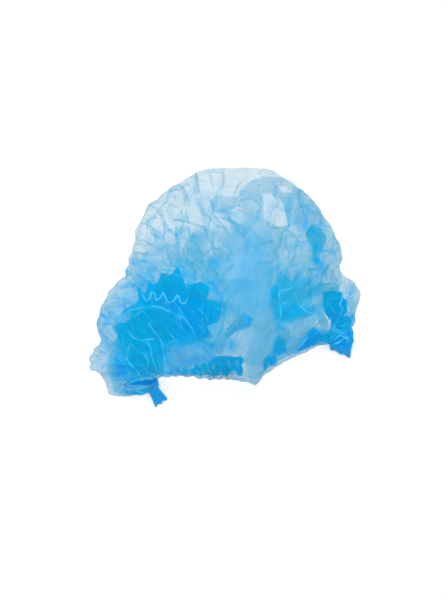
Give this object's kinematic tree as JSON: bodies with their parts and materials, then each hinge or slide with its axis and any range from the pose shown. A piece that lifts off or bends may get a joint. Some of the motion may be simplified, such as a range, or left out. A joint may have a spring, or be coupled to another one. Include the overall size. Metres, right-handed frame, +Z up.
{
  "type": "disposable hairnet",
  "caption": "Light non-woven bouffant cap with gathered elastic hems and a welded tab at each end, lying opened on its back to cover the hair.",
  "frame": {"origin": "on the table under the middle of the whole part's box", "axes": "+Z up from the table, the face opening towards -Y, the crown towards +Y, the two tabs towards -X and +X"},
  "size_m": [0.263, 0.2364, 0.0821],
  "materials": {
    "cloth": "thin translucent spunbond non-woven with bonded dots",
    "hem": "gathered double layer of the same cloth",
    "thread": "white covered elastic thread",
    "weld": "many pleats of the cloth welded together"
  },
  "bodies": {
    "root": {"crown": "cloth", "front_hem": "hem", "back_hem": "hem", "front_elastic": "thread", "back_elastic": "thread", "left_tab": "weld", "right_tab": "weld"}
  },
  "joints": []
}
